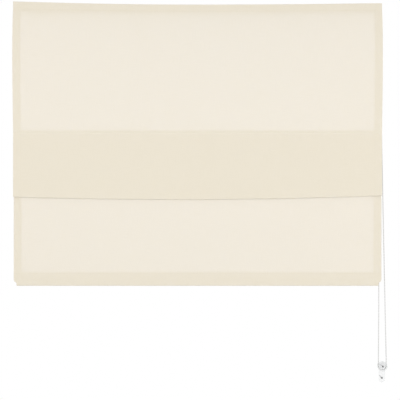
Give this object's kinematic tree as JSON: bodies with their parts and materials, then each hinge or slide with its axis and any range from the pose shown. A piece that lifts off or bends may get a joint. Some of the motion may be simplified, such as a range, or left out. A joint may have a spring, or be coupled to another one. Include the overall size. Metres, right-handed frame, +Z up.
{
  "type": "roman blind",
  "caption": "Roman blind of off-white cloth on a slim headrail, with rods, lift cords, a bead chain drive and a clear chain holder.",
  "frame": {"origin": "on the wall plane, in the middle of the wall brackets' screw hole pattern", "axes": "+X to the right seen from the room, +Y into the wall, +Z up"},
  "size_m": [1.431, 0.0709, 1.4454],
  "materials": {
    "cloth": "plain woven off-white cloth",
    "tape": "white woven tape",
    "cord": "white braided cord",
    "rail_paint": "white powder coat on aluminium",
    "bar_aluminium": "mill finish",
    "zinc_steel": "zinc plated",
    "shaft_steel": "drawn steel",
    "white_plastic": "moulded white plastic, satin",
    "bead_plastic": "moulded white beads on a cord",
    "clear_plastic": "clear moulded plastic",
    "rod_plastic": "glass-fibre rod"
  },
  "bodies": {
    "root": {"headrail": "rail_paint", "end_cap_left": "white_plastic", "clutch_housing": "white_plastic", "clutch_cover": "white_plastic", "hook_tape": "tape", "loop_tape": "tape", "fabric": "cloth", "bead_chain": "bead_plastic", "chain_connector": "white_plastic", "holder_base": "clear_plastic", "holder_cover": "clear_plastic", "holder_screws": "zinc_steel", "spool_cradle_1": "white_plastic", "lift_cord_1": "cord", "spool_cradle_2": "white_plastic", "lift_cord_2": "cord", "spool_cradle_3": "white_plastic", "lift_cord_3": "cord", "spool_cradle_4": "white_plastic", "lift_cord_4": "cord", "bracket_left": "zinc_steel", "bracket_centre": "zinc_steel", "bracket_right": "zinc_steel"},
    "upper_rod": {"rod_upper": "rod_plastic", "pocket_tape_upper": "tape", "cord_rings_upper": "white_plastic"},
    "lift_rod": {"rod_lift": "rod_plastic", "pocket_tape_lift": "tape", "cord_rings_lift": "white_plastic", "cord_locks": "white_plastic", "bottom_bar": "bar_aluminium", "bottom_bar_cap_left": "white_plastic", "bottom_bar_cap_right": "white_plastic"},
    "wrap_spring": {"clutch_spring": "shaft_steel"},
    "drive": {"chain_wheel": "white_plastic", "clutch_core": "white_plastic", "drive_shaft": "shaft_steel", "shaft_bush": "white_plastic", "cord_windings": "cord", "spool_1": "white_plastic", "spool_2": "white_plastic", "spool_3": "white_plastic", "spool_4": "white_plastic"},
    "lever_left": {"bracket_lever_left": "white_plastic"},
    "lever_centre": {"bracket_lever_centre": "white_plastic"},
    "lever_right": {"bracket_lever_right": "white_plastic"}
  },
  "joints": [
    {"name": "raise", "type": "slide", "parent": "root", "child": "upper_rod", "axis": [0, 0, 1], "range_m": [0, 0.4324], "deforming": ["fabric", "lift_cord_1", "lift_cord_2", "lift_cord_3", "lift_cord_4", "bead_chain"]},
    {"name": "lower", "type": "slide", "parent": "upper_rod", "child": "lift_rod", "axis": [0, 0, 1], "range_m": [-0.485, 0], "deforming": ["fabric", "lift_cord_1", "lift_cord_2", "lift_cord_3", "lift_cord_4", "bead_chain"]},
    {"name": "spring_turn", "type": "hinge", "parent": "root", "child": "wrap_spring", "pos_m": [0.667, -0.0175, -0.0034], "axis": [1, 0, 0], "range_deg": [-2664, 0], "deforming": ["bead_chain"]},
    {"name": "drive_turn", "type": "hinge", "parent": "wrap_spring", "child": "drive", "pos_m": [0.667, -0.0175, -0.0034], "axis": [1, 0, 0], "range_deg": [0, 2988], "deforming": ["bead_chain", "lift_cord_1", "lift_cord_2", "lift_cord_3", "lift_cord_4"]},
    {"name": "lever_left_turn", "type": "hinge", "parent": "root", "child": "lever_left", "pos_m": [-0.52, -0.0175, 0.0123], "axis": [0, 0, 1], "range_deg": [0, 80]},
    {"name": "lever_centre_turn", "type": "hinge", "parent": "root", "child": "lever_centre", "pos_m": [0, -0.0175, 0.0123], "axis": [0, 0, 1], "range_deg": [0, 80]},
    {"name": "lever_right_turn", "type": "hinge", "parent": "root", "child": "lever_right", "pos_m": [0.52, -0.0175, 0.0123], "axis": [0, 0, 1], "range_deg": [0, 80]}
  ],
  "couplings": [
    {"joint": "spring_turn", "follows": "raise", "rad_per_m": -107.53},
    {"joint": "drive_turn", "follows": "lower", "rad_per_m": -107.53}
  ]
}
